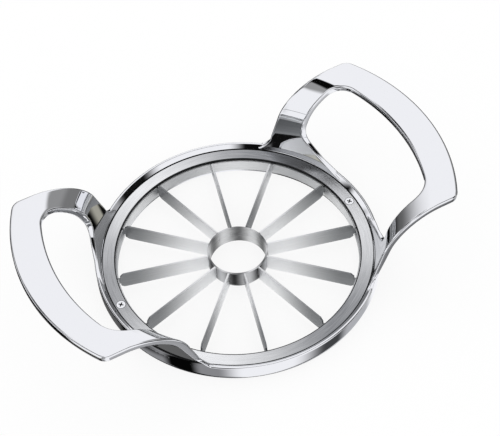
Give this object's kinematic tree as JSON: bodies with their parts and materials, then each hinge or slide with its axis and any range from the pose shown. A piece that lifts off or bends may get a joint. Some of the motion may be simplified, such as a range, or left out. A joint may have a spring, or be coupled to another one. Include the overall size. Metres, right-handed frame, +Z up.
{
  "type": "apple slicer",
  "caption": "Hand-held apple slicer and corer: polished cast frame with two raised looped handles, and a set of straight blades round a core tube, held under a screwed ring.",
  "frame": {"origin": "centre of the flat underside that the frame rests on, on the axis of the rim", "axes": "+Z up, from the cutting edges to the handles; +X along the line through both handles; +Y across it, level"},
  "size_m": [0.184, 0.1206, 0.0427],
  "materials": {
    "polished_casting": "mirror polished plating on a cast frame",
    "satin_ring": "satin stainless sheet with a fine grain",
    "bright_screws": "bright turned stainless",
    "brushed_blades": "stainless strip brushed along its length, ground lower edges"
  },
  "bodies": {
    "root": {"handle_frame": "polished_casting", "retaining_ring": "satin_ring", "left_screw": "bright_screws", "right_screw": "bright_screws", "blade_band": "brushed_blades", "core_ring": "brushed_blades", "blade_01": "brushed_blades", "blade_02": "brushed_blades", "blade_03": "brushed_blades", "blade_04": "brushed_blades", "blade_05": "brushed_blades", "blade_06": "brushed_blades", "blade_07": "brushed_blades", "blade_08": "brushed_blades", "blade_09": "brushed_blades", "blade_10": "brushed_blades", "blade_11": "brushed_blades", "blade_12": "brushed_blades"}
  },
  "joints": []
}
